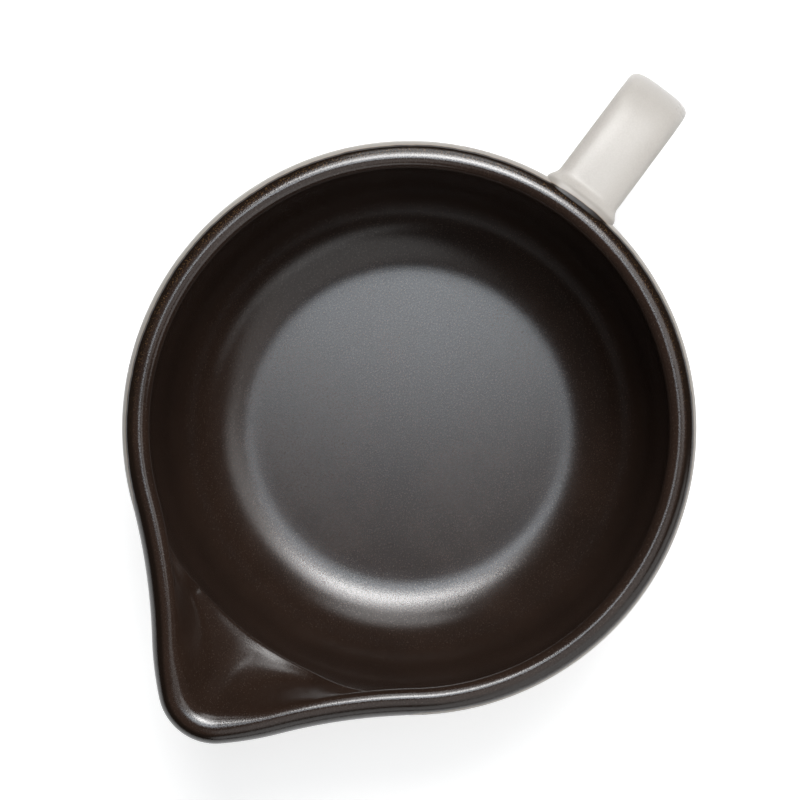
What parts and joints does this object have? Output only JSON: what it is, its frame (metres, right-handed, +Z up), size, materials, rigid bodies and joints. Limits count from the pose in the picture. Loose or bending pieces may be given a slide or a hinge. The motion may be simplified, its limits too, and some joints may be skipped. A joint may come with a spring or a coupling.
{
  "type": "microwave cooking pot",
  "caption": "Round glazed stoneware cooking pot with a rounded rim, a wide pouring spout and a strap loop handle opposite it.",
  "frame": {"origin": "on the bowl's axis, in the plane that the foot ring stands on", "axes": "+Z up along the bowl's axis, +X along the spout, the handle towards -X"},
  "size_m": [0.2244, 0.158, 0.082],
  "materials": {
    "stoneware": "bare fired clay",
    "dark_glaze": "satin",
    "pale_glaze": "satin"
  },
  "bodies": {
    "root": {"bowl": "stoneware", "spout": "stoneware", "handle": "stoneware", "bowl_liner_glaze": "dark_glaze", "spout_liner_glaze": "dark_glaze", "bowl_coat_glaze": "pale_glaze", "spout_coat_glaze": "pale_glaze", "handle_coat_glaze": "pale_glaze"}
  },
  "joints": []
}
